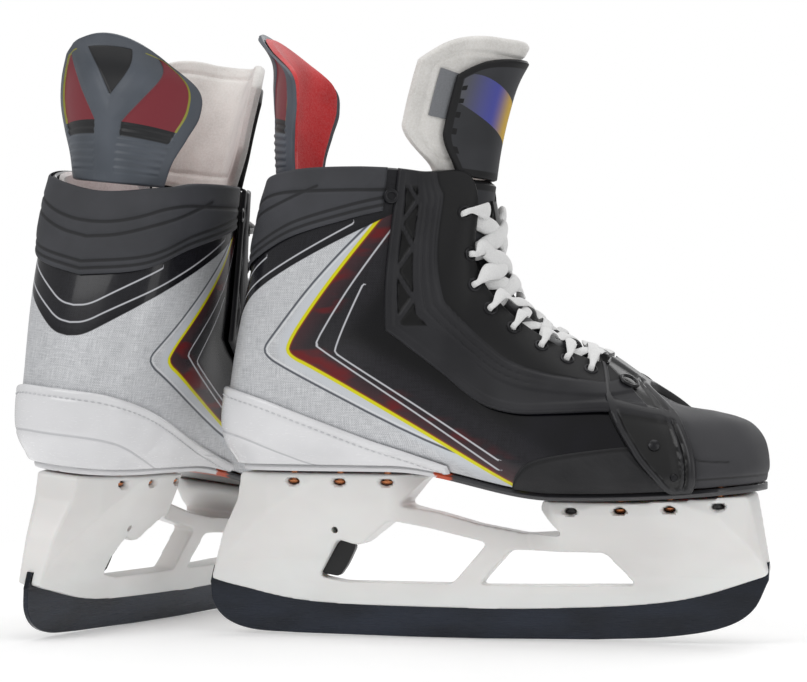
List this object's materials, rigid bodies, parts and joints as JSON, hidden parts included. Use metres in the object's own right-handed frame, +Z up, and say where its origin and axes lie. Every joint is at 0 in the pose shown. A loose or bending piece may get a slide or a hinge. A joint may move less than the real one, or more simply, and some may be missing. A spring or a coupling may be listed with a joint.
{
  "type": "pair of ice hockey skates",
  "caption": "Ice hockey skates: moulded boots with felt tongues and tendon guards, laced up the front, on plastic blade holders with releasable steel runners",
  "frame": {"origin": "on the floor, under the middle of the bounding box of the standing pair", "axes": "+X from the right skate's heel to its toe, +Y from the right skate to its wearer's left, +Z up"},
  "size_m": [0.393, 0.2888, 0.3162],
  "materials": {
    "composite": "clear-coated carbon weave, black and silver",
    "lining": "brushed microfibre, off-white",
    "collar_leather": "matt charcoal synthetic leather",
    "white_shell": "white moulded, satin gloss",
    "facing_leather": "matt black synthetic leather, ribbed",
    "toe_plastic": "moulded, fine grain",
    "strap_plastic": "moulded, matt",
    "sole_composite": "pressed composite, satin",
    "footbed_foam": "foam with fabric top",
    "rivet_copper": "copper, bright",
    "holder_plastic": "white glass-filled nylon, satin",
    "blade_steel": "black coated stainless steel",
    "trigger_plastic": "black nylon",
    "pin_steel": "plain steel",
    "tongue_leather": "matt charcoal synthetic leather",
    "tongue_felt": "thick white felt",
    "guard_plastic": "moulded blue-grey, satin",
    "guard_lining": "bright red felt",
    "lace_cotton": "flat woven, white"
  },
  "bodies": {
    "right_boot": {"right_quarter": "composite", "right_liner": "lining", "right_collar_panel": "collar_leather", "right_heel_counter": "white_shell", "right_facing_outer": "facing_leather", "right_facing_inner": "facing_leather", "right_toe_cap": "toe_plastic", "right_toe_strap": "strap_plastic", "right_outsole": "sole_composite", "right_footbed": "footbed_foam", "right_rivets_rear": "rivet_copper", "right_rivets_front": "rivet_copper", "right_holder": "holder_plastic", "right_trigger_pin": "pin_steel", "right_trigger_spring": "pin_steel", "right_tongue_cover": "tongue_leather", "right_tongue_felt": "tongue_felt", "right_lace": "lace_cotton"},
    "right_runner_body": {"right_runner": "blade_steel"},
    "right_trigger_body": {"right_trigger": "trigger_plastic"},
    "right_tongue_top_body": {"right_tongue_top_cover": "tongue_leather", "right_tongue_top_felt": "tongue_felt"},
    "right_tendon_guard_body": {"right_tendon_guard": "guard_plastic", "right_guard_lining": "guard_lining"},
    "left_boot": {"left_quarter": "composite", "left_liner": "lining", "left_collar_panel": "collar_leather", "left_heel_counter": "white_shell", "left_facing_outer": "facing_leather", "left_facing_inner": "facing_leather", "left_toe_cap": "toe_plastic", "left_toe_strap": "strap_plastic", "left_outsole": "sole_composite", "left_footbed": "footbed_foam", "left_rivets_rear": "rivet_copper", "left_rivets_front": "rivet_copper", "left_holder": "holder_plastic", "left_trigger_pin": "pin_steel", "left_trigger_spring": "pin_steel", "left_tongue_cover": "tongue_leather", "left_tongue_felt": "tongue_felt", "left_lace": "lace_cotton"},
    "left_runner_body": {"left_runner": "blade_steel"},
    "left_trigger_body": {"left_trigger": "trigger_plastic"},
    "left_tongue_top_body": {"left_tongue_top_cover": "tongue_leather", "left_tongue_top_felt": "tongue_felt"},
    "left_tendon_guard_body": {"left_tendon_guard": "guard_plastic", "left_guard_lining": "guard_lining"}
  },
  "joints": [
    {"name": "right_runner_release", "type": "hinge", "parent": "right_boot", "child": "right_runner_body", "pos_m": [0.19649, -0.07672, 0.04211], "axis": [0, -1, 0], "range_deg": [0, 3]},
    {"name": "right_trigger_pull", "type": "hinge", "parent": "right_boot", "child": "right_trigger_body", "pos_m": [-0.02801, -0.07672, 0.05609], "axis": [0, -1, 0], "range_deg": [0, 18], "stiffness_Nm_per_rad": 0.02},
    {"name": "right_tongue_fold", "type": "hinge", "parent": "right_boot", "child": "right_tongue_top_body", "pos_m": [0.05489, -0.07672, 0.23636], "axis": [0, 1, 0], "range_deg": [0, 30], "stiffness_Nm_per_rad": 1},
    {"name": "right_guard_flex", "type": "hinge", "parent": "right_boot", "child": "right_tendon_guard_body", "pos_m": [-0.06331, -0.07672, 0.23796], "axis": [0, -1, 0], "range_deg": [0, 15], "stiffness_Nm_per_rad": 2},
    {"name": "left_runner_release", "type": "hinge", "parent": "left_boot", "child": "left_runner_body", "pos_m": [-0.10531, 0.14276, 0.04188], "axis": [0.965, -0.2406, -0.1045], "range_deg": [0, 3]},
    {"name": "left_trigger_pull", "type": "hinge", "parent": "left_boot", "child": "left_trigger_body", "pos_m": [-0.1582, -0.07543, 0.05579], "axis": [0.965, -0.2406, -0.1045], "range_deg": [0, 18], "stiffness_Nm_per_rad": 0.02},
    {"name": "left_tongue_fold", "type": "hinge", "parent": "left_boot", "child": "left_tongue_top_body", "pos_m": [-0.11986, 0.00045, 0.23506], "axis": [-0.965, 0.2406, 0.1045], "range_deg": [0, 30], "stiffness_Nm_per_rad": 1},
    {"name": "left_guard_flex", "type": "hinge", "parent": "left_boot", "child": "left_tendon_guard_body", "pos_m": [-0.1483, -0.11428, 0.23665], "axis": [0.965, -0.2406, -0.1045], "range_deg": [0, 15], "stiffness_Nm_per_rad": 2},
    {"name": "left_skate_lift", "type": "slide", "parent": "right_boot", "child": "left_boot", "axis": [0, 0, 1], "range_m": [0, 0.3]}
  ]
}
